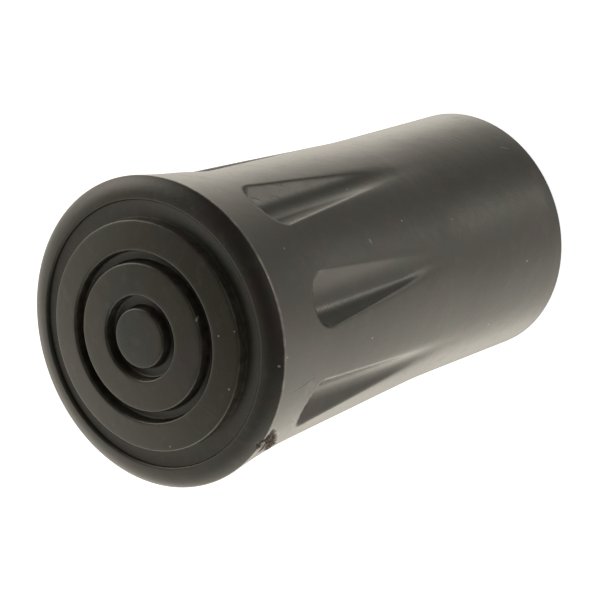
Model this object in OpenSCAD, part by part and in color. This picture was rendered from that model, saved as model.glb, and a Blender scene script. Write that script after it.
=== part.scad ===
// Slip-on rubber tip for the foot of a trekking pole, moulded in one piece.
// It stands on its open mouth: the mouth is at z = 0 and the ringed tread faces up (+Z).

/* [Overall] */
// Height from the mouth to the top of the crowned tread
total_h = 52.8; // [44:0.1:64]
// Widest diameter, at the edge of the tread
base_d = 30; // [26:0.1:36]
// Diameter of the collar at the mouth
mouth_d = 24.2; // [20:0.1:28]

/* [Collar] */
// Height of the collar
collar_h = 18.6; // [12:0.1:24]
// Growth of the collar's radius from the mouth to its top
collar_draft = 0.3; // [0:0.05:1]
// Height of the short step from the collar out to the body
shoulder_h = 1.3; // [0.6:0.1:3]
// Growth of the radius over that step
shoulder_step = 0.15; // [0.05:0.05:1]
// Radius rounding the outer edge of the mouth
mouth_round_r = 0.5; // [0.2:0.1:1.5]

/* [Flare] */
// Distance from the widest edge down to the start of the flare
flare_h = 11.3; // [6:0.1:16]
// How far the widest edge stands out from the line of the straight taper
flare_out = 0.6; // [0.2:0.05:2]

/* [Flutes] */
// Number of flutes around the body
flute_count = 8; // [3:1:9]
// Turn of the first flute from the -Y axis
flute_turn = -8.8; // [-45:0.1:45]
// Distance from the widest edge down to the round end of each flute
flute_start = 6.8; // [5:0.1:10]
// Greatest width of a flute, across its round end
flute_w = 5.8; // [3:0.1:6.6]
// Depth of a flute at its round end, below the line of the straight taper
flute_depth = 1.8; // [0.8:0.05:2.2]
// Slope of the two flute walls below the surface
flute_slope = 34; // [26:1:40]
// Radius of the rounded valley between the walls
flute_valley_r = 1.5; // [0.5:0.1:2]

/* [Tread] */
// Radius of the sphere that crowns the tread
crown_r = 55; // [40:1:120]
// Diameter of the centre button
button_d = 5.5; // [3:0.1:7]
// Width of the inner ring
inner_ring_w = 2.85; // [1.5:0.05:3.6]
// Width of the outer ring
outer_ring_w = 2.6; // [1.5:0.05:3.6]
// Depth of the grooves beside the rings
groove_depth = 1.25; // [0.6:0.05:1.8]
// Radius rounding the top edges of the button and rings
ring_edge_r = 0.35; // [0.1:0.05:0.6]

/* [Rim] */
// Width of the rounded rim around the tread
rim_w = 2.2; // [1.2:0.05:3]
// Width of the shallow channel between the rim and the outer ring
channel_w = 1.8; // [0.8:0.05:2.6]
// Depth of the channel floor below the inner edge of the rim
channel_depth = 0.35; // [0.2:0.05:0.8]
// Depth of the rim's inner edge below the curve of the crown
rim_sink = 0.6; // [0.2:0.05:1.4]
// Drop of the rim's rounded shoulder, from its inner edge to the widest edge
rim_shoulder_h = 1.1; // [0.7:0.05:1.8]

/* [Bore] */
// Diameter of the blind bore that grips the pole's foot
bore_d = 11.2; // [9:0.1:14]
// Depth of the bore from the mouth
bore_depth = 38; // [28:0.5:42]
// Width of the lead-in chamfer at the mouth of the bore
lead_in = 0.9; // [0.3:0.1:1.5]

/* [Hidden] */

$fn = 180;
sweep_fn = 480;
end_fn = 96;
valley_fn = 96;
round_fn = 48;
overlap = 0.5;
rubber = [0.17, 0.165, 0.16];

// Radii of the turned form, from the mouth up to the widest edge
mouth_r = mouth_d / 2;
collar_top_r = mouth_r + collar_draft;
shoulder_r = collar_top_r + shoulder_step;
base_r = base_d / 2;
bore_r = bore_d / 2;

// Radii of the tread: the two grooves share evenly what the lands and the channel leave
rim_in_r = base_r - rim_w;
button_r = button_d / 2;
outer_ring_r = rim_in_r - channel_w;
groove_w = (outer_ring_r - outer_ring_w - inner_ring_w - button_r) / 2;
inner_ring_r = button_r + groove_w + inner_ring_w;

// Crown: centre of its sphere, and the height of the crown at a radius
crown_centre_z = total_h - crown_r;
function crown_z(r) = crown_centre_z + sqrt(crown_r * crown_r - r * r);

// Heights of the turned form
rim_z = crown_z(rim_in_r) - rim_sink;
channel_z = rim_z - channel_depth;
edge_z = rim_z - rim_shoulder_h;
flare_z = edge_z - flare_h;
shoulder_z = collar_h + shoulder_h;

// Straight taper: its angle, and its radius at a height
taper_angle = atan2(base_r - flare_out - shoulder_r, edge_z - shoulder_z);
taper_out = [cos(taper_angle), -sin(taper_angle)];
function taper_r(z) = shoulder_r + (z - shoulder_z) * tan(taper_angle);

// Flare: an arc tangent to the taper where it starts and through the widest edge
flare_r = taper_r(flare_z);
flare_rise = [base_r - flare_r, flare_h];
flare_arc_r = (flare_rise * flare_rise) / (2 * (flare_rise * taper_out));
flare_centre = [flare_r, flare_z] + flare_arc_r * taper_out;

// Rim shoulder: an arc that is level at the rim's inner edge and ends at the widest edge
rim_arc_r = (rim_w * rim_w + rim_shoulder_h * rim_shoulder_h) / (2 * rim_shoulder_h);

// Centre height of an edge round that touches the crown from inside, at a radius
function round_z(r) = crown_centre_z + sqrt(pow(crown_r - ring_edge_r, 2) - r * r);

// Flutes: the valley is a straight line from the collar's top edge up to the round end
flute_end_r = flute_w / 2;
flute_end_z = edge_z - flute_start;
valley_foot = [collar_top_r, collar_h];
valley_head = [taper_r(flute_end_z) - flute_depth, flute_end_z];
valley_run = norm(valley_head - valley_foot);
valley_lean = atan2(valley_head[0] - valley_foot[0], valley_head[1] - valley_foot[1]);
// The walls carry on outwards from the valley by this much, clear of the body
flute_reach = flute_depth + flare_out + rim_w;

// Turned solid: mouth, collar, shoulder, taper and flare
module body_profile() {
    difference() {
        polygon([
            [0, 0],
            [mouth_r - mouth_round_r, 0],
            [mouth_r, mouth_round_r],
            [collar_top_r, collar_h],
            [shoulder_r, shoulder_z],
            [flare_r, flare_z],
            [base_r, flare_z],
            [base_r, edge_z],
            [0, edge_z]
        ]);
        translate(flare_centre) circle(r = flare_arc_r, $fn = sweep_fn);
    }
    translate([mouth_r - mouth_round_r, mouth_round_r]) circle(r = mouth_round_r, $fn = round_fn);
}

// Rounded shoulder between the rim's inner edge and the widest edge
module rim_profile() {
    translate([0, edge_z - overlap]) square([rim_in_r, channel_z - edge_z + overlap]);
    intersection() {
        translate([rim_in_r, edge_z]) square([rim_w, rim_shoulder_h]);
        translate([rim_in_r, rim_z - rim_arc_r]) circle(r = rim_arc_r);
    }
}

// One raised land of the tread, with rounded top edges that blend into the crown
module land_profile(inner, outer) {
    outer_c = outer - ring_edge_r;
    inner_c = inner > 0 ? inner + ring_edge_r : 0;
    blend = crown_r / (crown_r - ring_edge_r);
    intersection() {
        translate([0, crown_centre_z]) circle(r = crown_r, $fn = sweep_fn);
        translate([inner_c * blend, edge_z]) square([(outer_c - inner_c) * blend, total_h - edge_z]);
    }
    translate([inner, edge_z]) square([outer - inner, round_z(outer_c) - edge_z]);
    translate([outer_c, round_z(outer_c)]) circle(r = ring_edge_r, $fn = round_fn);
    if (inner > 0) {
        translate([inner, edge_z]) square([ring_edge_r, round_z(inner_c) - edge_z]);
        translate([inner_c, round_z(inner_c)]) circle(r = ring_edge_r, $fn = round_fn);
    }
}

// Floor of a groove, out to a radius: its depth is taken from the crown at the groove's outer edge
module floor_profile(outer, inner) {
    translate([0, edge_z]) square([outer, crown_z(inner) - groove_depth - edge_z]);
}

// Button, two rings and the groove floors between them
module tread_profile() {
    floor_profile(inner_ring_r, button_r + groove_w);
    floor_profile(outer_ring_r, outer_ring_r - outer_ring_w);
    land_profile(0, button_r);
    land_profile(inner_ring_r - inner_ring_w, inner_ring_r);
    land_profile(outer_ring_r - outer_ring_w, outer_ring_r);
}

// Section of one flute, seen along its valley: a V with a rounded bottom that touches the origin
module flute_section() {
    tangent_x = flute_valley_r * sin(flute_slope);
    tangent_y = -flute_valley_r * (1 - cos(flute_slope));
    mouth_x = tangent_x + (flute_reach + tangent_y) / tan(flute_slope);
    polygon([
        [-tangent_x, tangent_y],
        [tangent_x, tangent_y],
        [mouth_x, -flute_reach],
        [-mouth_x, -flute_reach]
    ]);
    translate([0, -flute_valley_r]) circle(r = flute_valley_r, $fn = valley_fn);
}

// Cutter for one flute: its section along the leaning valley, inside a plan with a round upper end
module flute_cutter() {
    intersection() {
        translate([0, -valley_foot[0], valley_foot[1]])
            rotate([valley_lean, 0, 0])
                translate([0, 0, -overlap])
                    linear_extrude(height = valley_run + flute_end_r + overlap) flute_section();
        rotate([90, 0, 0])
            linear_extrude(height = base_r + overlap) {
                translate([0, flute_end_z - flute_end_r]) circle(r = flute_end_r, $fn = end_fn);
                translate([-flute_end_r, collar_h - overlap])
                    square([flute_w, flute_end_z - flute_end_r - collar_h + overlap]);
            }
    }
}

// Blind bore from the mouth, with its lead-in chamfer
module bore() {
    translate([0, 0, -overlap]) cylinder(h = bore_depth + overlap, r = bore_r);
    translate([0, 0, -overlap]) cylinder(h = lead_in + overlap, r1 = bore_r + lead_in + overlap, r2 = bore_r);
}

// The whole tip, one solid
module rubber_tip() {
    color(rubber)
        difference() {
            rotate_extrude() {
                body_profile();
                rim_profile();
                tread_profile();
            }
            for (i = [0:flute_count - 1])
                rotate([0, 0, flute_turn + i * 360 / flute_count]) flute_cutter();
            bore();
        }
}

rubber_tip();
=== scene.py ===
"""A slip-on rubber tip for the foot of a trekking pole: one moulded piece, its marks and a plain studio."""
import math

import bpy
import numpy as np
from mathutils import Matrix, Vector, noise


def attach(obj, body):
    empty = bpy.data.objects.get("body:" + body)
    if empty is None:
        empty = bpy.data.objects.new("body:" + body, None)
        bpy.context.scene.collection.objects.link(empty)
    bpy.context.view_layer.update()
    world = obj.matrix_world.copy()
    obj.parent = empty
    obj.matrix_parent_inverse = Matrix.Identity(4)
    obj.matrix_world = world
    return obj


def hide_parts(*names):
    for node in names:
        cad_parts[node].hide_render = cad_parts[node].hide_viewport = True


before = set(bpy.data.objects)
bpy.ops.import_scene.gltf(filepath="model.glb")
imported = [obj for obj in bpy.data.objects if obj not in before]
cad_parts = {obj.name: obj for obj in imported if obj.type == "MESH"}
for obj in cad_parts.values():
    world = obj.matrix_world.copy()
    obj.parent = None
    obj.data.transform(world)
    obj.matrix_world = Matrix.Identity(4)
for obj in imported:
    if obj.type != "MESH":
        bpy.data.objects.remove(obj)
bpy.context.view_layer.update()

MM = 0.001

# Sizes of the tip, in millimetres
TOTAL_H = 52.8
BASE_R = 15.0
MOUTH_R = 12.1
MOUTH_ROUND = 0.5
COLLAR_TOP_R = 12.4
COLLAR_H = 18.6
SHOULDER_H = 1.3
SHOULDER_R = 12.55
FLARE_H = 11.3
FLARE_OUT = 0.6

# The soft step at the shoulder. It is clear at one azimuth and fades round the rest of the body
STEP_Z = 20.25
STEP_RUN = 1.1
STEP_FOOT = 0.02
STEP_FADE = (16.6, 23.6)
STEP_CLEAR_AZIMUTH = 1.0
STEP_CLEAR_SPREAD = 12.0
STEP_KEPT = 0.12

# Tread: a button, two rings and a channel on one slow crown, which stands a little under TOTAL_H
CROWN_R = 55.0
CROWN_DROP = 0.35
BUTTON_R = 2.92
INNER_RING = (4.08, 7.22)
OUTER_RING = (8.27, 11.2)
GROOVE_DEPTH = 1.25
GROOVE_FILLET = 0.25
LAND_ROUND = 0.24
CHANNEL_DEPTH = 0.35
CHANNEL_FILLET = 0.04

# Rim: a rounded shoulder down to the widest edge, which carries a thin lip of flash
RIM_IN_R = 12.88
RIM_SINK = 0.43
RIM_SHOULDER_H = 1.0
RIM_ROUND = 0.25
CREASE_ROUND = 0.08
FLASH = 0.12
LIP_H = 0.12
LIP_LEAN = 7.0

# Bore
BORE_R = 5.6
BORE_DEPTH = 38.0
LEAD_IN = 0.9
BORE_FILLET = 1.2

# Flutes: each is a rounded V whose valley rises in a straight line from where it runs out
FLUTES = 8
FLUTE_TURN = -8.8
FLUTE_START = 6.52
FLUTE_RUN_OUT_Z = 21.5
FLUTE_END_R = 2.9
FLUTE_END_SLOPE = 74.0
FLUTE_DEPTH = 1.8
FLUTE_SLOPE = 34.0
FLUTE_FOOT = 0.2
FLUTE_EDGE = 0.05
FLUTE_EDGE_FOOT = 0.16
VALLEY_HEAD = 2.1
VALLEY_FOOT = 1.9
NARROWEST = 0.7
LEAN_FULL = 1.4
LEAN_LIMIT = 0.42
PRESS_PASSES = 8
# Small differences between the flutes: width, extra reach of the round end, how far the valley lies
# off the middle, and how round the valley is
FLUTE_CUTS = (
    (0.98, 0.0, 0.55, 1.35),
    (1.11, 0.5, 0.0, 1.0),
    (1.05, 0.2, -0.2, 1.0),
    (1.0, 0.1, 0.2, 1.1),
    (1.03, 0.0, 0.3, 1.0),
    (1.06, 0.2, 0.0, 0.9),
    (1.02, 0.1, 0.2, 1.1),
    (1.07, 0.0, 0.2, 1.0),
)

# Columns of the mesh round the tip, how those of half a flute's pitch are shared out inside and
# outside its edge, and how much they crowd towards it
COLUMNS = 384
INNER_COLUMNS = 18
OUTER_COLUMNS = 6
INNER_CROWD = 0.12
OUTER_CROWD = 0.15
MERGE_GAP = 0.002

# Sizes that follow from the ones above
CROWN_CENTRE_Z = TOTAL_H - CROWN_DROP - CROWN_R


def crown_z(r):
    """Height of the crown at a radius."""
    return CROWN_CENTRE_Z + math.sqrt(CROWN_R ** 2 - r ** 2)


RIM_Z = crown_z(RIM_IN_R) - RIM_SINK
EDGE_Z = RIM_Z - RIM_SHOULDER_H
CHANNEL_Z = RIM_Z - CHANNEL_DEPTH
FLARE_Z = EDGE_Z - FLARE_H
SHOULDER_Z = COLLAR_H + SHOULDER_H
TAPER = math.atan2(BASE_R - FLARE_OUT - SHOULDER_R, EDGE_Z - SHOULDER_Z)
FLUTE_END_Z = EDGE_Z - FLUTE_START
MID_WALL_R = (BORE_R + MOUTH_R) / 2

# Heights between which the columns are gathered along the flutes, and the flutes are pressed
GATHER_LOW = (COLLAR_H - 9, COLLAR_H - 1)
GATHER_HIGH = (FLUTE_END_Z + 1, EDGE_Z - 1)
PRESS_LOW = COLLAR_H - 6
PRESS_HIGH = EDGE_Z - 1


def taper_r(z):
    """Radius of the straight taper at a height."""
    return SHOULDER_R + (z - SHOULDER_Z) * math.tan(TAPER)


# Marks. A place on the body is (azimuth, height) and one on the tread is (azimuth, radius).
# ROUND_R turns an azimuth into a distance round the body
ROUND_R = 14.0
# The torn nick: begin, end, width and depth of each stroke
NICK = (
    ((-56.3, 48.4), (-60.0, 49.1), 0.7, 0.2),
    ((-58.0, 49.1), (-60.8, 49.2), 0.5, 0.05),
    ((-58.5, 47.9), (-65.5, 47.6), 0.85, 0.12),
    ((-62.0, 47.0), (-70.0, 45.3), 0.95, 0.1),
    ((-69.0, 45.2), (-78.5, 42.9), 0.85, 0.1),
)
NICK_IN_R = 14.45
NICK_UNDER_EDGE = 1.0
NICK_AZIMUTHS = (-86, -50)
NICK_LOW_Z = 40.0
NICK_RAGGED = 0.3
NICK_RAGGED_PER_MM = 1.6
NICK_LUMPS = 0.5
NICK_LUMPS_PER_MM = 2.4
NICK_CORE = 0.35
NICK_SEED = 1
# Cracks, scars and flecks: begin, end, width and strength of each
CRACKS = (
    ((-38.0, 43.1), (-38.8, 44.9), 0.09, 1.0),
    ((-38.8, 44.9), (-39.2, 46.0), 0.08, 0.9),
    ((-39.2, 46.0), (-38.5, 47.6), 0.06, 0.4),
    ((48.9, 7.7), (44.9, 7.25), 0.09, 0.7),
    ((-75.0, 46.9), (-76.5, 47.2), 0.14, 0.8),
)
SCARS = (
    ((-40.2, 43.7), (-42.9, 42.9), 0.5, 0.3),
    ((-41.6, 44.0), (-44.9, 43.7), 0.45, 0.25),
    ((-56.5, 44.2), (-62.8, 43.4), 0.12, 0.6),
    ((-62.8, 43.4), (-68.5, 43.3), 0.12, 0.6),
    ((33.7, 3.3), (31.3, 2.5), 0.1, 0.55),
    ((7.9, 31.3), (7.1, 31.25), 0.24, 0.55),
    ((44.8, 41.3), (43.2, 40.3), 0.07, 0.4),
    ((43.5, 38.6), (41.8, 37.6), 0.06, 0.35),
    ((46.4, 37.4), (45.0, 36.5), 0.06, 0.35),
)
# Specks: place and radius of each
BODY_SPECKS = (
    (-31.7, 33.5, 0.15),
    (-45.8, 32.3, 0.14),
    (-51.2, 29.4, 0.14),
    (-26.6, 49.8, 0.13),
    (-23.9, 48.9, 0.12),
    (12.2, 25.05, 0.14),
    (14.7, 44.5, 0.13),
    (35.4, 28.45, 0.13),
    (-52.3, 11.0, 0.14),
    (-24.0, 6.5, 0.13),
    (-13.3, 39.3, 0.12),
    (6.2, 17.2, 0.13),
)
TREAD_SPECKS = (
    (-42.6, 10.62, 0.13),
    (-13.6, 9.19, 0.12),
    (-11.8, 10.91, 0.1),
    (-98.1, 10.71, 0.11),
)
RING_FLECKS = (
    ((-3.0, 52.3), (0.0, 51.8), 0.18, 1.0),
    ((0.0, 51.8), (1.2, 51.6), 0.12, 0.8),
)
LAND_EDGES = (BUTTON_R, *INNER_RING, *OUTER_RING)


def on_body(azimuth, z):
    """Place of a mark on the body, unrolled to a flat sheet, in millimetres."""
    return math.radians(azimuth) * ROUND_R, z, 0


def on_ring_wall(azimuth, z):
    """Place of a mark on the inner ring's outer wall, in millimetres."""
    x, y, _ = on_tread(azimuth, INNER_RING[1])
    return x, y, z


def on_tread(azimuth, radius):
    """Place of a mark on the tread, seen from above, in millimetres."""
    a = math.radians(azimuth)
    return radius * math.sin(a), -radius * math.cos(a), 0


# Turned profile: points (radius, height), from the crown down the outside and up the bore

def straight(begin, end, steps):
    """Points along a line, without its first."""
    return [(begin[0] + (end[0] - begin[0]) * i / steps, begin[1] + (end[1] - begin[1]) * i / steps)
            for i in range(1, steps + 1)]


def arc(centre, radius, start, end, steps):
    """Points along an arc, without its first. Angles are in degrees from the outward direction."""
    points = []
    for i in range(1, steps + 1):
        a = math.radians(start + (end - start) * i / steps)
        points.append((centre[0] + radius * math.cos(a), centre[1] + radius * math.sin(a)))
    return points


def s_curve(begin, end, steps):
    """Points down a soft step between two heights, without its first."""
    points = []
    for i in range(1, steps + 1):
        t = i / steps
        ease = t * t * (3 - 2 * t)
        points.append((begin[0] + (end[0] - begin[0]) * ease, begin[1] + (end[1] - begin[1]) * t))
    return points


def angle_of(point, centre):
    """Direction of a point from a centre, in degrees from the outward direction."""
    return math.degrees(math.atan2(point[1] - centre[1], point[0] - centre[0]))


def round_centre(r):
    """Centre of a land's edge round, which touches the crown from inside."""
    return r, CROWN_CENTRE_Z + math.sqrt((CROWN_R - LAND_ROUND) ** 2 - r ** 2)


def crown_angle(r):
    """Direction of the crown's normal above the centre of an edge round."""
    return 90 - math.degrees(math.asin(r / (CROWN_R - LAND_ROUND)))


def crown_run(begin, end, steps):
    """Points along the crown between two radii, without the first."""
    return [(r, crown_z(r)) for r, _ in straight((begin, 0), (end, 0), steps)]


def land(profile, inner, outer, steps):
    """Goes up a land's inner wall, over its crowned top and round its outer edge."""
    if inner > 0:
        centre = round_centre(inner + LAND_ROUND)
        profile += straight(profile[-1], (inner, centre[1]), steps=3)
        profile += arc(centre, LAND_ROUND, 180, crown_angle(centre[0]), steps=6)
    centre = round_centre(outer - LAND_ROUND)
    reach = centre[0] * CROWN_R / (CROWN_R - LAND_ROUND)
    profile += crown_run(profile[-1][0], reach, steps)
    profile += arc(centre, LAND_ROUND, crown_angle(centre[0]), 0, steps=6)


def groove(profile, inner, outer, floor_z, fillet):
    """Goes down a wall, across a groove's floor and to the foot of the next wall."""
    profile += straight(profile[-1], (inner, floor_z + fillet), steps=3)
    profile += arc((inner + fillet, floor_z + fillet), fillet, 180, 270, steps=3)
    profile += straight(profile[-1], (outer - fillet, floor_z), steps=2)
    profile += arc((outer - fillet, floor_z + fillet), fillet, 270, 360, steps=3)


def touching_centre(centre_a, reach_a, centre_b, reach_b):
    """The upper of the two points at those distances from two centres."""
    a = Vector(centre_a)
    b = Vector(centre_b)
    gap = (b - a).length
    along = (reach_a ** 2 - reach_b ** 2 + gap ** 2) / (2 * gap)
    off = math.sqrt(reach_a ** 2 - along ** 2)
    way = (b - a) / gap
    side = Vector((-way.y, way.x))
    return max(a + way * along + side * off, a + way * along - side * off, key=lambda p: p.y)


def tread_profile(profile):
    """Button, two rings, the grooves between them and the shallow channel."""
    land(profile, 0, BUTTON_R, steps=7)
    groove(profile, BUTTON_R, INNER_RING[0], crown_z(INNER_RING[0]) - GROOVE_DEPTH, GROOVE_FILLET)
    land(profile, *INNER_RING, steps=8)
    groove(profile, INNER_RING[1], OUTER_RING[0], crown_z(OUTER_RING[0]) - GROOVE_DEPTH, GROOVE_FILLET)
    land(profile, *OUTER_RING, steps=8)
    groove(profile, OUTER_RING[1], RIM_IN_R, CHANNEL_Z, CHANNEL_FILLET)


def rim_profile(profile):
    """Rounded rim, the crease at the widest edge and the flare down to the straight taper."""
    profile += arc((RIM_IN_R + RIM_ROUND, RIM_Z - RIM_ROUND), RIM_ROUND, 180, 90, steps=4)
    wide_r = BASE_R + FLASH
    rim_w = wide_r - RIM_IN_R
    rim_arc = (rim_w ** 2 + RIM_SHOULDER_H ** 2) / (2 * RIM_SHOULDER_H)
    rim_centre = (RIM_IN_R, RIM_Z - rim_arc)
    flare_r = taper_r(FLARE_Z)
    out = (math.cos(TAPER), -math.sin(TAPER))
    rise = (wide_r - flare_r, FLARE_H)
    flare_arc = (rise[0] ** 2 + rise[1] ** 2) / (2 * (rise[0] * out[0] + rise[1] * out[1]))
    flare_centre = (flare_r + flare_arc * out[0], FLARE_Z + flare_arc * out[1])
    crease = touching_centre(rim_centre, rim_arc - CREASE_ROUND, flare_centre, flare_arc + CREASE_ROUND)
    rim_end = angle_of(crease, rim_centre)
    flare_top = angle_of(crease, flare_centre)
    flare_foot = angle_of((flare_r, FLARE_Z), flare_centre) % 360
    profile += arc(rim_centre, rim_arc, angle_of(profile[-1], rim_centre), rim_end, steps=12)
    profile += arc(crease, CREASE_ROUND, rim_end, LIP_LEAN, steps=3)
    lean = math.radians(LIP_LEAN)
    drop = (LIP_H * math.sin(lean), -LIP_H * math.cos(lean))
    under_lip = arc(crease, CREASE_ROUND, LIP_LEAN, flare_top - 180, steps=3)
    under_lip += arc(flare_centre, flare_arc, flare_top, flare_foot, steps=40)
    lip_r, lip_z = profile[-1]
    profile += straight((lip_r, lip_z), (lip_r + drop[0], lip_z + drop[1]), steps=2)
    profile += [(r + drop[0], z + drop[1]) for r, z in under_lip]


def collar_profile(profile):
    """Straight taper, the small step at the shoulder, and the collar down to the mouth."""
    profile += straight(profile[-1], (taper_r(STEP_Z), STEP_Z), steps=44)
    profile += s_curve(profile[-1], (COLLAR_TOP_R + STEP_FOOT, STEP_Z - STEP_RUN), steps=6)
    profile += straight(profile[-1], (COLLAR_TOP_R, COLLAR_H), steps=4)
    profile += straight(profile[-1], (MOUTH_R, MOUTH_ROUND), steps=12)
    profile += arc((MOUTH_R - MOUTH_ROUND, MOUTH_ROUND), MOUTH_ROUND, 0, -90, steps=6)


def bore_profile(profile):
    """Mouth face, lead-in chamfer and the blind bore up to the axis."""
    profile += straight(profile[-1], (BORE_R + LEAD_IN, 0), steps=5)
    profile += straight(profile[-1], (BORE_R, LEAD_IN), steps=3)
    profile += straight(profile[-1], (BORE_R, BORE_DEPTH - BORE_FILLET), steps=8)
    profile += arc((BORE_R - BORE_FILLET, BORE_DEPTH - BORE_FILLET), BORE_FILLET, 0, 90, steps=5)
    profile += straight(profile[-1], (0, BORE_DEPTH), steps=4)


def tip_profile():
    """The whole turned profile, from the middle of the crown to the end of the bore."""
    profile = [(0.0, crown_z(0))]
    tread_profile(profile)
    rim_profile(profile)
    collar_profile(profile)
    bore_profile(profile)
    return profile


# Modelling helpers

def deselect_all():
    """Leaves nothing selected."""
    bpy.ops.object.select_all(action="DESELECT")


def begin_edit(select):
    """Opens the active piece in edit mode with all or nothing selected."""
    bpy.ops.object.mode_set(mode="EDIT")
    bpy.ops.mesh.select_mode(type="VERT")
    bpy.ops.mesh.select_all(action=select)


def spun_tip(name):
    """Draws the profile point by point from one vertex, and spins it round the axis."""
    profile = tip_profile()
    deselect_all()
    bpy.ops.mesh.primitive_plane_add(size=MM, location=(profile[0][0] * MM, 0, profile[0][1] * MM))
    tip = bpy.context.object
    tip.name = name
    bpy.ops.object.transform_apply(location=True, rotation=True, scale=True)
    begin_edit("SELECT")
    bpy.ops.mesh.merge(type="CENTER")
    for before, after in zip(profile, profile[1:]):
        step = ((after[0] - before[0]) * MM, 0, (after[1] - before[1]) * MM)
        bpy.ops.mesh.extrude_region_move(TRANSFORM_OT_translate={"value": step})
    bpy.ops.mesh.select_all(action="SELECT")
    bpy.ops.mesh.spin(steps=COLUMNS, angle=math.tau, center=(0, 0, 0), axis=(0, 0, 1))
    bpy.ops.mesh.select_all(action="SELECT")
    bpy.ops.mesh.remove_doubles(threshold=MERGE_GAP * MM)
    bpy.ops.mesh.normals_make_consistent(inside=False)
    bpy.ops.object.mode_set(mode="OBJECT")
    return tip


def smooth_step(x, low, high):
    """0 below low, 1 above high, and a soft change between."""
    t = np.clip((x - low) / (high - low), 0, 1)
    return t * t * (3 - 2 * t)


def soft_max(a, b, width):
    """The larger of two values, with the corner between them rounded."""
    return np.maximum(a, b) + width * np.log1p(np.exp(-np.abs(a - b) / width))


def soft_min(a, b, width):
    """The smaller of two values, with the corner between them rounded."""
    return -soft_max(-a, -b, width)


def points_of(piece):
    """The piece's vertices as an array, in millimetres."""
    flat = np.empty(len(piece.data.vertices) * 3)
    piece.data.vertices.foreach_get("co", flat)
    return flat.reshape(-1, 3) / MM


def set_points(piece, points):
    """Moves the piece's vertices to points in millimetres."""
    piece.data.vertices.foreach_set("co", (points * MM).ravel())
    piece.data.update()


def turned(points):
    """Azimuth in degrees from the -Y side, and radius, of each point."""
    return np.degrees(np.arctan2(points[:, 0], -points[:, 1])), np.hypot(points[:, 0], points[:, 1])


def placed(azimuth, radius, z):
    """Points from azimuth, radius and height."""
    a = np.radians(azimuth)
    return np.column_stack([radius * np.sin(a), -radius * np.cos(a), z])


def valley_radius(z):
    """Radius of a flute's valley: a straight line from where it runs out to the round end."""
    head = taper_r(FLUTE_END_Z) - FLUTE_DEPTH
    foot = taper_r(FLUTE_RUN_OUT_Z)
    return foot + (head - foot) * (z - FLUTE_RUN_OUT_Z) / (FLUTE_END_Z - FLUTE_RUN_OUT_Z)


def valley_round(z):
    """Radius rounding the valley: tighter at the round end than where the flute runs out."""
    return VALLEY_HEAD + (VALLEY_FOOT - VALLEY_HEAD) * smooth_step(-z, -FLUTE_END_Z, -COLLAR_H)


def edge_softness(z):
    """How softly a flute's edge rolls into the body: crisp at the round end, faint at the foot."""
    return FLUTE_EDGE + (FLUTE_EDGE_FOOT - FLUTE_EDGE) * smooth_step(-z, -FLUTE_END_Z, -COLLAR_H) ** 2


def flute_half_width(depth, rounding):
    """Half width of a flute's section at the surface, for a depth of its valley."""
    slope = math.radians(FLUTE_SLOPE)
    depth = np.maximum(depth, 0)
    round_part = np.sqrt(2 * rounding * depth)
    flat_part = (depth + rounding * (1 / math.cos(slope) - 1)) / math.tan(slope)
    return np.where(round_part < rounding * math.sin(slope), round_part, flat_part)


def flute_section(lateral, rounding):
    """Rise of a flute's section above its valley, at a distance from the valley's line."""
    slope = math.radians(FLUTE_SLOPE)
    inside = np.minimum(np.abs(lateral), rounding * math.sin(slope))
    beyond = np.abs(lateral) - inside
    return rounding - np.sqrt(rounding ** 2 - inside ** 2) + beyond * math.tan(slope)


def flute_reach(radius, z):
    """Half width of a flute at the surface, kept within the width of its round end."""
    depth = radius - valley_radius(z)
    return np.clip(flute_half_width(depth, valley_round(z)), NARROWEST, FLUTE_END_R)


def leaning(lateral, width, lean):
    """Distance across a flute, measured so that its valley lies off the middle."""
    off = lateral + lean
    return off * width / np.where(off > 0, width + lean, width - lean)


def gather_columns(points):
    """Draws the columns of the mesh together along each flute's edges and valley."""
    azimuth, radius = turned(points)
    pitch = 360 / FLUTES
    column = np.round((azimuth - 90) / (360 / COLUMNS)) * (360 / COLUMNS)
    sector = np.floor(column / pitch)
    cuts = np.array(FLUTE_CUTS)[sector.astype(int) % FLUTES]
    across = column - (sector + 0.5) * pitch
    z = points[:, 2]
    width = cuts[:, 0] * flute_reach(radius, z)
    edge = np.degrees(np.arcsin(np.clip(width / np.maximum(radius, 1), 0, 1)))
    share = pitch / 2 * INNER_COLUMNS / (INNER_COLUMNS + OUTER_COLUMNS)
    inner = np.minimum(np.abs(across) / share, 1)
    outer = np.clip((np.abs(across) - share) / (pitch / 2 - share), 0, 1)
    inner = inner + INNER_CROWD * np.sin(math.pi * inner)
    outer = outer - OUTER_CROWD * np.sin(math.pi * outer)
    gathered = np.sign(across) * (edge * inner + (pitch / 2 - edge) * outer)
    part = smooth_step(z, *GATHER_LOW) * (1 - smooth_step(z, *GATHER_HIGH))
    part = np.where(radius > MID_WALL_R, part, 0)
    across = across * (1 - part) + gathered * part
    turn = FLUTE_TURN + sector * pitch
    return placed(turn + across, radius, z), across, radius, cuts


def fade_step(tip):
    """Fades the shoulder's step into the taper round most of the body."""
    points = points_of(tip)
    azimuth, radius = turned(points)
    z = points[:, 2]
    low, high = STEP_FADE
    low_r = MOUTH_R + (COLLAR_TOP_R - MOUTH_R) * low / COLLAR_H
    slope = low_r + (taper_r(high) - low_r) * np.clip((z - low) / (high - low), 0, 1)
    clear = np.exp(-((azimuth - STEP_CLEAR_AZIMUTH) / STEP_CLEAR_SPREAD) ** 2)
    keep = STEP_KEPT + (1 - STEP_KEPT) * clear
    body = (radius > MID_WALL_R) & (z > low) & (z < high)
    set_points(tip, placed(azimuth, np.where(body, slope + (radius - slope) * keep, radius), z))


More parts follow.
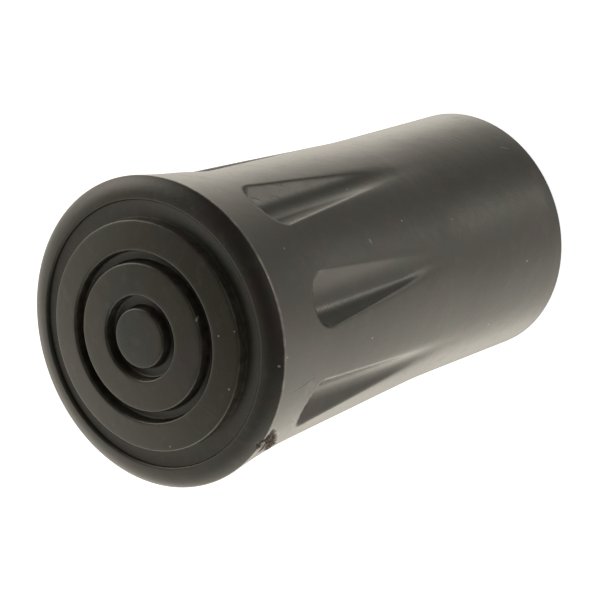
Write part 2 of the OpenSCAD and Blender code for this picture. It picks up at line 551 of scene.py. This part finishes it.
def press_flutes(tip):
    """Presses the flutes into the turned body, with rounded edges and steep round ends."""
    points, across, radius, cuts = gather_columns(points_of(tip))
    spread, reach, lean, roundness = cuts.T
    z = points[:, 2]
    a = np.radians(across)
    valley = valley_radius(z)
    rounding = valley_round(z) * roundness
    width = flute_reach(radius, z)
    lean = np.clip(lean, -LEAN_LIMIT * width, LEAN_LIMIT * width) * smooth_step(width, NARROWEST, LEAN_FULL)
    pressed = radius.copy()
    for _ in range(PRESS_PASSES):
        lateral = leaning(pressed * np.sin(a) / spread, width, lean)
        pressed = (valley + flute_section(lateral, rounding)) / np.cos(a)
    lateral = radius * np.sin(a) / spread
    above = np.maximum(z - (FLUTE_END_Z + reach - FLUTE_END_R), 0)
    inside = FLUTE_END_R - np.hypot(lateral, above)
    wall = radius - math.tan(math.radians(FLUTE_END_SLOPE)) * inside
    cut = soft_min(radius, soft_max(pressed, wall, FLUTE_FOOT), edge_softness(z))
    body = (radius > MID_WALL_R) & (z > PRESS_LOW) & (z < PRESS_HIGH)
    azimuth = turned(points)[0]
    set_points(tip, placed(azimuth, np.where(body, cut, radius), z))


def stroke_share(across, z, begin, end, width):
    """1 in the middle of a stroke on the unrolled body, and 0 at its sides and beyond."""
    bx, by, _ = on_body(*begin)
    ex, ey, _ = on_body(*end)
    way = np.array([ex - bx, ey - by])
    off = np.column_stack([across - bx, z - by])
    along = np.clip(off @ way / (way @ way), 0, 1)
    gap = np.hypot(off[:, 0] - along * way[0], off[:, 1] - along * way[1])
    return 1 - smooth_step(gap, NICK_CORE * width, width)


def tear_nick(tip):
    """Tears the ragged nick out of the flare and the widest edge above it. Without a seed, the
    noise would start from the time of day and give another nick at each run."""
    noise.seed_set(NICK_SEED)
    points = points_of(tip)
    azimuth, radius = turned(points)
    z = points[:, 2]
    outer = (radius > NICK_IN_R) | ((z < EDGE_Z - NICK_UNDER_EDGE) & (radius > RIM_IN_R))
    beside = (azimuth > NICK_AZIMUTHS[0]) & (azimuth < NICK_AZIMUTHS[1])
    near = np.flatnonzero(outer & beside & (z > NICK_LOW_Z))
    moves = np.zeros(len(points))
    for i in near:
        jitter = noise.noise_vector(Vector(points[i]) * NICK_RAGGED_PER_MM) * NICK_RAGGED
        across = math.radians(azimuth[i]) * ROUND_R + jitter.x
        up = z[i] + jitter.y
        lump = noise.noise(Vector(points[i]) * NICK_LUMPS_PER_MM) * NICK_LUMPS
        for begin, end, width, depth in NICK:
            share = stroke_share(np.array([across]), np.array([up]), begin, end, width)[0]
            moves[i] = max(moves[i], share * (depth + lump))
    set_points(tip, placed(azimuth, radius - moves, z))


tip = spun_tip("rubber_tip_skin")
fade_step(tip)
press_flutes(tip)
tear_nick(tip)
bpy.ops.object.shade_smooth()


# Finish: small node groups, then the rubber itself

class Board:
    """Lays out nodes in one node tree. A value is a number, a vector or another node's output."""

    def __init__(self, tree):
        self.tree = tree

    def node(self, kind, values=(), **settings):
        """Adds a node, with its settings and the values of its first inputs."""
        node = self.tree.nodes.new("ShaderNode" + kind)
        for setting, value in settings.items():
            setattr(node, setting, value)
        for socket, value in zip(node.inputs, values):
            self.put(socket, value)
        return node

    def put(self, socket, value):
        """Links or writes a value into a socket. None leaves the socket as it is."""
        if isinstance(value, bpy.types.NodeSocket):
            self.tree.links.new(value, socket)
        elif value is not None:
            socket.default_value = value

    def math(self, operation, *values, clamp=False):
        """A Math node's result."""
        return self.node("Math", values, operation=operation, use_clamp=clamp).outputs[0]

    def vector(self, operation, *values):
        """A Vector Math node, whose output the caller picks."""
        return self.node("VectorMath", values, operation=operation)

    def ramp(self, value, low, high, start=0.0, end=1.0):
        """A soft change from start to end as the value goes from low to high."""
        values = (value, low, high, start, end)
        return self.node("MapRange", values, interpolation_type="SMOOTHSTEP").outputs[0]

    def blend(self, share, under, over):
        """One colour over another, by a share from 0 to 1."""
        node = self.tree.nodes.new("ShaderNodeMix")
        node.data_type = "RGBA"
        self.put(node.inputs["Factor"], share)
        self.put(node.inputs[6], under)
        self.put(node.inputs[7], over)
        return node.outputs[2]

    def group(self, tree, **values):
        """Places a shader node group, with its inputs by name."""
        node = self.tree.nodes.new("ShaderNodeGroup")
        node.node_tree = tree
        for name, value in values.items():
            self.put(node.inputs[name.replace("_", " ")], value)
        return node.outputs[0]

    def lumps(self, place, per_mm, detail=2.0, roughness=0.5):
        """A noise texture's outputs: one value, and a colour with three."""
        node = self.node("TexNoise", [place])
        self.put(node.inputs["Scale"], per_mm)
        self.put(node.inputs["Detail"], detail)
        self.put(node.inputs["Roughness"], roughness)
        return node.outputs[0], node.outputs[1]


def new_group(name, inputs, output, output_kind="NodeSocketFloat"):
    """An empty shader node group, its board, its inputs by name and the socket of its output."""
    tree = bpy.data.node_groups.new(name, "ShaderNodeTree")
    for socket, kind in inputs.items():
        tree.interface.new_socket(socket, in_out="INPUT", socket_type=kind)
    tree.interface.new_socket(output, in_out="OUTPUT", socket_type=output_kind)
    entry = tree.nodes.new("NodeGroupInput")
    leave = tree.nodes.new("NodeGroupOutput")
    return tree, Board(tree), entry.outputs, leave.inputs[0]


FLOAT = "NodeSocketFloat"
VECTOR = "NodeSocketVector"
SMALLEST = 0.0001
MARK_CORE = 0.45
SCUFF_STRETCH = (0.35, 7.0, 1.0)


def unroll_group():
    """Unrolls the body's round side to a flat sheet: distance round it, and height."""
    tree, board, given, out = new_group("unroll", {"Place": VECTOR, "Round": FLOAT}, "Sheet", VECTOR)
    place = board.node("SeparateXYZ", [given["Place"]])
    back = board.math("MULTIPLY", place.outputs["Y"], -1)
    angle = board.math("ARCTAN2", place.outputs["X"], back)
    along = board.math("MULTIPLY", angle, given["Round"])
    board.put(out, board.node("CombineXYZ", [along, place.outputs["Z"], 0.0]).outputs[0])
    return tree


def streak_group():
    """A mark with soft sides along a line between two points. A spot has both at one place."""
    inputs = {"Place": VECTOR, "Begin": VECTOR, "End": VECTOR, "Width": FLOAT, "Strength": FLOAT}
    tree, board, given, out = new_group("streak", inputs, "Mask")
    way = board.vector("SUBTRACT", given["End"], given["Begin"]).outputs[0]
    off = board.vector("SUBTRACT", given["Place"], given["Begin"]).outputs[0]
    along = board.vector("DOT_PRODUCT", off, way).outputs["Value"]
    whole = board.math("MAXIMUM", board.vector("DOT_PRODUCT", way, way).outputs["Value"], SMALLEST)
    share = board.math("DIVIDE", along, whole, clamp=True)
    foot = board.node("VectorMath", [way], operation="SCALE")
    board.put(foot.inputs["Scale"], share)
    gap = board.vector("DISTANCE", off, foot.outputs[0]).outputs["Value"]
    inner = board.math("MULTIPLY", given["Width"], MARK_CORE)
    mark = board.ramp(gap, inner, given["Width"], 1.0, 0.0)
    board.put(out, board.math("MULTIPLY", mark, given["Strength"]))
    return tree


def cloud_group():
    """Soft blotches of a size, from a low to a high threshold."""
    tree, board, given, out = new_group(
        "cloud", {"Place": VECTOR, "Per mm": FLOAT, "Low": FLOAT, "High": FLOAT}, "Mask")
    lumps, _ = board.lumps(given["Place"], given["Per mm"], detail=3.0)
    board.put(out, board.ramp(lumps, given["Low"], given["High"]))
    return tree


def grain_group():
    """The fine skin that the mould leaves: a close grain over slow waves, in millimetres."""
    tree, board, given, out = new_group(
        "mould_skin", {"Place": VECTOR, "Grain": FLOAT, "Waves": FLOAT}, "Height")
    grain, _ = board.lumps(given["Place"], per_mm=3.6, detail=4.0, roughness=0.62)
    waves, _ = board.lumps(given["Place"], per_mm=0.42)
    slow = board.math("MULTIPLY", waves, given["Waves"])
    board.put(out, board.math("MULTIPLY_ADD", grain, given["Grain"], slow))
    return tree


def scuff_group():
    """Fine scratches that run one way over the unrolled body, in patches."""
    tree, board, given, out = new_group(
        "scuffs", {"Sheet": VECTOR, "Turn": FLOAT, "Low": FLOAT, "High": FLOAT}, "Mask")
    turn = board.node("VectorRotate", [given["Sheet"]], rotation_type="Z_AXIS")
    board.put(turn.inputs["Angle"], given["Turn"])
    drawn = board.vector("MULTIPLY", turn.outputs[0], SCUFF_STRETCH).outputs[0]
    lines, _ = board.lumps(drawn, per_mm=1.0, detail=3.0)
    scratched = board.ramp(lines, given["Low"], given["High"])
    patches, _ = board.lumps(given["Sheet"], per_mm=0.22)
    where = board.ramp(patches, low=0.42, high=0.6)
    board.put(out, board.math("MULTIPLY", scratched, where))
    return tree


def dust_group():
    """Tiny specks of dust strewn over a surface, a share of the cells having one."""
    tree, board, given, out = new_group(
        "dust", {"Place": VECTOR, "Per mm": FLOAT, "Radius": FLOAT, "Share": FLOAT}, "Mask")
    cells = board.node("TexVoronoi", [given["Place"]])
    board.put(cells.inputs["Scale"], given["Per mm"])
    speck = board.ramp(cells.outputs["Distance"], 0.0, given["Radius"], 1.0, 0.0)
    pick = board.node("SeparateXYZ", [cells.outputs["Color"]]).outputs["X"]
    chosen = board.math("LESS_THAN", pick, given["Share"])
    board.put(out, board.math("MULTIPLY", speck, chosen))
    return tree


def ring_group():
    """A soft band round the axis at a radius, for the worn edges of the lands."""
    tree, board, given, out = new_group(
        "ring_band", {"Place": VECTOR, "Radius": FLOAT, "Width": FLOAT}, "Mask")
    flat = board.vector("MULTIPLY", given["Place"], (1.0, 1.0, 0.0)).outputs[0]
    radius = board.vector("LENGTH", flat).outputs["Value"]
    gap = board.math("ABSOLUTE", board.math("SUBTRACT", radius, given["Radius"]))
    board.put(out, board.ramp(gap, 0.0, given["Width"], 1.0, 0.0))
    return tree


def principled(name):
    """A new material, its board and its Principled BSDF."""
    material = bpy.data.materials.new(name)
    material.use_nodes = True
    return material, Board(material.node_tree), material.node_tree.nodes["Principled BSDF"]


GROUPS = {
    "unroll": unroll_group(),
    "streak": streak_group(),
    "cloud": cloud_group(),
    "skin": grain_group(),
    "scuffs": scuff_group(),
    "dust": dust_group(),
    "ring": ring_group(),
}

BLACK_RUBBER = (0.0285, 0.0298, 0.0262, 1)
GREEN_CAST = (0.0245, 0.0315, 0.0265, 1)
RED_CAST = (0.035, 0.0275, 0.0285, 1)
TREAD_BROWN = (0.0335, 0.031, 0.0235, 1)
BLOOM = (0.062, 0.058, 0.051, 1)
WORN_EDGE = (0.085, 0.078, 0.068, 1)
SCUFFED = (0.075, 0.071, 0.064, 1)
CRACK_DARK = (0.008, 0.0075, 0.006, 1)
SCAR_PALE = (0.26, 0.255, 0.225, 1)
# Painted highlight: a pale colour round the lip at the widest edge, standing in for the bright line of
# light along it
LIP_PAINTED_HIGHLIGHT = (0.2, 0.19, 0.17, 1)
DUST_PALE = (0.33, 0.32, 0.29, 1)
TORN_BROWN = (0.05, 0.034, 0.025, 1)

# Blotches: how many to a millimetre, and the thresholds between which they fade in
GREEN_BLOTCHES = (0.16, 0.48, 0.66)
RED_BLOTCHES = (0.22, 0.5, 0.68)
BLOOM_BLOTCHES = (0.7, 0.5, 0.8)
RUBBED_BLOTCHES = (1.1, 0.36, 0.7)
BLOTCH_SHIFT = (31.0, 17.0, 5.0)

# How much of each layer's colour shows
BLOOM_SHARE = 0.45
WORN_SHARE = 0.6
# The painted highlight on the lip shows between these two shares, following the rubbed blotches
LIP_HIGHLIGHT_SHARE = (0.35, 0.8)
SCUFF_SHARE = 0.5
STREWN_SHARE = 0.35
SPECK_SHARE = 0.9
SCAR_SHARE = 0.8

# Roughness of clean rubber and of full bloom, and what each mark adds to it
SMOOTH = 0.285
BLOOM_ROUGH = 0.34
WORN_ROUGH = 0.08
SCUFF_ROUGH = 0.12
BIT_ROUGH = 0.3
TORN_ROUGH = 0.55

# Relief, in millimetres
GRAIN_H = 0.015
TORN_GRAIN_H = 0.3
WAVE_H = 0.035
CRACK_H = -0.06
SCAR_H = -0.03

# Where the finish changes, in millimetres: the tread's height over the edge, the outer wall's radius over
# the bore's, the radius over the edge's of the painted highlight on the lip, and the torn rubber's fade in
# radius and height
TREAD_FADE = (-0.4, 0.6)
SIDE_FADE = (2.0, 4.0)
LIP_HIGHLIGHT_FADE = (0.07, 0.12)
TORN_FADE_R = 0.3
TORN_FADE_Z = (-0.6, -1.2)
TORN_WIDTH = 0.95
WORN_WIDTH = 0.22


def millimetres(board):
    """Places on the piece in millimetres, from its own coordinates."""
    place = board.node("TexCoord").outputs["Object"]
    return board.vector("MULTIPLY", place, (1 / MM, 1 / MM, 1 / MM)).outputs[0]


def any_of(board, masks):
    """The strongest of some masks."""
    total = masks[0]
    for mask in masks[1:]:
        total = board.math("MAXIMUM", total, mask)
    return total


def ragged(board, place, per_mm, reach):
    """Moves places about a little, so that a mark's outline is uneven."""
    _, lumps = board.lumps(place, per_mm, detail=3.0)
    centred = board.vector("SUBTRACT", lumps, (0.5, 0.5, 0.5)).outputs[0]
    shift = board.node("VectorMath", [centred], operation="SCALE")
    board.put(shift.inputs["Scale"], 2 * reach)
    return board.vector("ADD", place, shift.outputs[0]).outputs[0]


def streaks(board, place, marks, locate):
    """One mask for a list of marks: begin, end, width and strength of each."""
    masks = [board.group(GROUPS["streak"], Place=place, Begin=locate(*begin), End=locate(*end),
                         Width=width, Strength=strength) for begin, end, width, strength in marks]
    return any_of(board, masks)


def specks(board, place, marks, locate):
    """One mask for a list of round specks: place and radius of each."""
    return streaks(board, place, [((a, b), (a, b), radius, SPECK_SHARE) for a, b, radius in marks], locate)


def blotches(board, place, kind):
    """One mask of soft blotches of a kind."""
    per_mm, low, high = kind
    return board.group(GROUPS["cloud"], Place=place, Per_mm=per_mm, Low=low, High=high)


def rubber_material():
    """Black moulded rubber: faint casts and bloom, worn edges, a painted highlight on the lip, scuffs,
    specks, scars and the torn nick.
    """
    material, board, shader = principled("moulded_rubber")
    place = millimetres(board)
    sheet = board.group(GROUPS["unroll"], Place=place, Round=ROUND_R)
    height = board.node("SeparateXYZ", [place]).outputs["Z"]
    flat = board.vector("MULTIPLY", place, (1.0, 1.0, 0.0)).outputs[0]
    radius = board.vector("LENGTH", flat).outputs["Value"]
    on_top = board.math("MULTIPLY", board.ramp(height, EDGE_Z + TREAD_FADE[0], EDGE_Z + TREAD_FADE[1]),
                        board.ramp(radius, BASE_R, RIM_IN_R))
    on_side = board.ramp(radius, BORE_R + SIDE_FADE[0], BORE_R + SIDE_FADE[1])

    colour = board.blend(on_top, BLACK_RUBBER, TREAD_BROWN)
    colour = board.blend(blotches(board, place, GREEN_BLOTCHES), colour, GREEN_CAST)
    shifted = board.vector("ADD", place, BLOTCH_SHIFT).outputs[0]
    colour = board.blend(blotches(board, shifted, RED_BLOTCHES), colour, RED_CAST)
    bloom = blotches(board, shifted, BLOOM_BLOTCHES)
    colour = board.blend(board.math("MULTIPLY", bloom, BLOOM_SHARE), colour, BLOOM)

    edges = any_of(board, [board.group(GROUPS["ring"], Place=place, Radius=edge, Width=WORN_WIDTH)
                           for edge in LAND_EDGES])
    rubbed = blotches(board, place, RUBBED_BLOTCHES)
    worn = board.math("MULTIPLY", board.math("MULTIPLY", edges, on_top), rubbed)
    colour = board.blend(board.math("MULTIPLY", worn, WORN_SHARE), colour, WORN_EDGE)
    # Painted highlight: a pale band round the lip at the widest edge stands in for the bright line of light
    # along it
    lip_highlight = board.ramp(radius, BASE_R + LIP_HIGHLIGHT_FADE[0], BASE_R + LIP_HIGHLIGHT_FADE[1])
    lip_highlight = board.math("MULTIPLY", lip_highlight, board.ramp(rubbed, 0.0, 1.0, *LIP_HIGHLIGHT_SHARE))
    colour = board.blend(lip_highlight, colour, LIP_PAINTED_HIGHLIGHT)

    scuffs = any_of(board, [board.group(GROUPS["scuffs"], Sheet=sheet, Turn=turn, Low=0.6, High=0.78)
                            for turn in (0.6, 2.3)])
    scuffs = board.math("MULTIPLY", scuffs, on_side)
    colour = board.blend(board.math("MULTIPLY", scuffs, SCUFF_SHARE), colour, SCUFFED)

    wavy = ragged(board, sheet, per_mm=2.0, reach=0.08)
    scars = streaks(board, wavy, SCARS, on_body)
    colour = board.blend(board.math("MULTIPLY", scars, SCAR_SHARE), colour, SCAR_PALE)
    cracks = streaks(board, wavy, CRACKS, on_body)
    colour = board.blend(cracks, colour, CRACK_DARK)

    strewn = board.group(GROUPS["dust"], Place=place, Per_mm=0.55, Radius=0.05, Share=0.07)
    strewn = board.math("MULTIPLY", strewn, STREWN_SHARE)
    on_sides = any_of(board, [specks(board, wavy, BODY_SPECKS, on_body), strewn])
    bits = any_of(board, [
        board.math("MULTIPLY", on_sides, on_side),
        board.math("MULTIPLY", specks(board, flat, TREAD_SPECKS, on_tread), on_top),
        streaks(board, place, RING_FLECKS, on_ring_wall),
    ])
    colour = board.blend(bits, colour, DUST_PALE)

    uneven = ragged(board, sheet, NICK_RAGGED_PER_MM, NICK_RAGGED)
    strokes = [(begin, end, width * TORN_WIDTH, 1.0) for begin, end, width, _ in NICK]
    outer = board.math("MAXIMUM", board.ramp(radius, NICK_IN_R - TORN_FADE_R, NICK_IN_R),
                       board.ramp(height, EDGE_Z + TORN_FADE_Z[0], EDGE_Z + TORN_FADE_Z[1]))
    torn = board.math("MULTIPLY", streaks(board, uneven, strokes, on_body),
                      board.math("MULTIPLY", outer, on_side))
    colour = board.blend(torn, colour, TORN_BROWN)
    board.put(shader.inputs["Base Color"], colour)

    roughness = board.ramp(bloom, 0.0, 1.0, SMOOTH, BLOOM_ROUGH)
    roughness = board.math("MULTIPLY_ADD", worn, WORN_ROUGH, roughness)
    roughness = board.math("MULTIPLY_ADD", scuffs, SCUFF_ROUGH, roughness)
    roughness = board.math("MULTIPLY_ADD", any_of(board, [bits, scars]), BIT_ROUGH, roughness)
    roughness = board.math("MULTIPLY_ADD", torn, TORN_ROUGH, roughness, clamp=True)
    board.put(shader.inputs["Roughness"], roughness)

    grain = board.math("MULTIPLY_ADD", torn, TORN_GRAIN_H, GRAIN_H)
    relief = board.group(GROUPS["skin"], Place=place, Grain=grain, Waves=WAVE_H)
    relief = board.math("MULTIPLY_ADD", cracks, CRACK_H, relief)
    relief = board.math("MULTIPLY_ADD", scars, SCAR_H, relief)
    bump = board.node("Bump")
    board.put(bump.inputs["Distance"], MM)
    board.put(bump.inputs["Height"], relief)
    board.put(shader.inputs["Normal"], bump.outputs[0])
    return material


tip.data.materials.append(rubber_material())
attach(tip, "root")
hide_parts("rubber_tip")


# Studio: camera, floor and a surround of soft lights

CAMERA_PLACE = (-1.4027, -316.0997, 401.2399)
CAMERA_RIGHT = (-0.319456, -0.722812, -0.612773)
CAMERA_UP = (0.947601, -0.243675, -0.206578)
LENS = 300.24
SENSOR = 36.0
CLIP_NEAR = 0.02
CLIP_FAR = 20.0
FLOOR_SIZE = 6.0
FLOOR_PALE = (0.9, 0.9, 0.9, 1)
FLOOR_ROUGH = 0.9
FLOOR_GLOW = 0.9
WHITE = (1, 1, 1, 1)
LIGHT_TINT = (1.07, 1.0, 0.875)
# How tight a soft light is: a whole wall, a large screen, a soft box and a narrow lamp
WALL = 5.2
SCREEN = 8.5
BOX = 12.5
LAMP = 200.0
# The soft lights: azimuth from the -Y side, elevation, tightness and strength
SOFT_LIGHTS = (
    (-105, 7, WALL, 1.95),
    (-130, -30, BOX, 3.8),
    (124, 19, BOX, 3.3),
    (134, -34, BOX, 3.1),
    (5, -36, BOX, 1.55),
    (8, -40, LAMP, 8.0),
    (-176, 5, SCREEN, 1.45),
    (-68, -52, SCREEN, 1.45),
    (3, 27, BOX, 0.7),
    (85, -54, BOX, 0.65),
    (-171, 45, BOX, 0.65),
)


def add_camera():
    """A long lens above the tread's side, with the tip lying aslant in its picture."""
    data = bpy.data.cameras.new("camera")
    data.lens = LENS
    data.sensor_width = SENSOR
    data.clip_start = CLIP_NEAR
    data.clip_end = CLIP_FAR
    camera = bpy.data.objects.new("camera", data)
    bpy.context.scene.collection.objects.link(camera)
    right = Vector(CAMERA_RIGHT).normalized()
    up = Vector(CAMERA_UP).normalized()
    matrix = Matrix((right, up, right.cross(up))).transposed().to_4x4()
    matrix.translation = Vector(CAMERA_PLACE) * MM
    camera.matrix_world = matrix
    bpy.context.scene.camera = camera


def add_floor():
    """A pale floor under the mouth, which the camera sees as white and the rubber doesn't mirror."""
    deselect_all()
    bpy.ops.mesh.primitive_plane_add(size=FLOOR_SIZE)
    floor = bpy.context.object
    floor.name = "floor"
    material, board, shader = principled("pale_floor")
    board.put(shader.inputs["Base Color"], FLOOR_PALE)
    board.put(shader.inputs["Roughness"], FLOOR_ROUGH)
    board.put(shader.inputs["Specular IOR Level"], 0)
    glow = board.math("MULTIPLY", board.node("LightPath").outputs["Is Camera Ray"], FLOOR_GLOW)
    board.put(shader.inputs["Emission Strength"], glow)
    board.put(shader.inputs["Emission Color"], WHITE)
    floor.data.materials.append(material)
    floor.visible_diffuse = False
    floor.visible_glossy = False
    floor.visible_shadow = False


def soft_light(board, direction, azimuth, elevation, tightness):
    """A soft light seen in one direction: 1 at its middle, and fading all round."""
    a = math.radians(azimuth)
    e = math.radians(elevation)
    aim = (math.cos(e) * math.sin(a), -math.cos(e) * math.cos(a), math.sin(e))
    facing = board.vector("DOT_PRODUCT", direction, aim).outputs["Value"]
    return board.math("EXPONENT", board.math("MULTIPLY_ADD", facing, tightness, -tightness))


def light_world():
    """A surround made of soft lights. The camera, and rays through clear pieces, see plain white."""
    world = bpy.data.worlds.new("studio")
    bpy.context.scene.world = world
    world.use_nodes = True
    board = Board(world.node_tree)
    surround = world.node_tree.nodes["Background"]
    board.put(surround.inputs["Color"], (*LIGHT_TINT, 1))
    direction = board.node("TexCoord").outputs["Generated"]
    total = 0.0
    for azimuth, elevation, tightness, strength in SOFT_LIGHTS:
        light = soft_light(board, direction, azimuth, elevation, tightness)
        total = board.math("MULTIPLY_ADD", light, strength, total)
    board.put(surround.inputs["Strength"], total)
    white = board.node("Background", [WHITE])
    rays = board.node("LightPath").outputs
    seen = board.math("MAXIMUM", rays["Is Camera Ray"], rays["Is Transmission Ray"])
    mix = board.node("MixShader", [seen, surround.outputs[0], white.outputs[0]])
    board.put(world.node_tree.nodes["World Output"].inputs["Surface"], mix.outputs[0])


add_camera()
add_floor()
light_world()
bpy.context.scene.view_settings.view_transform = "Standard"
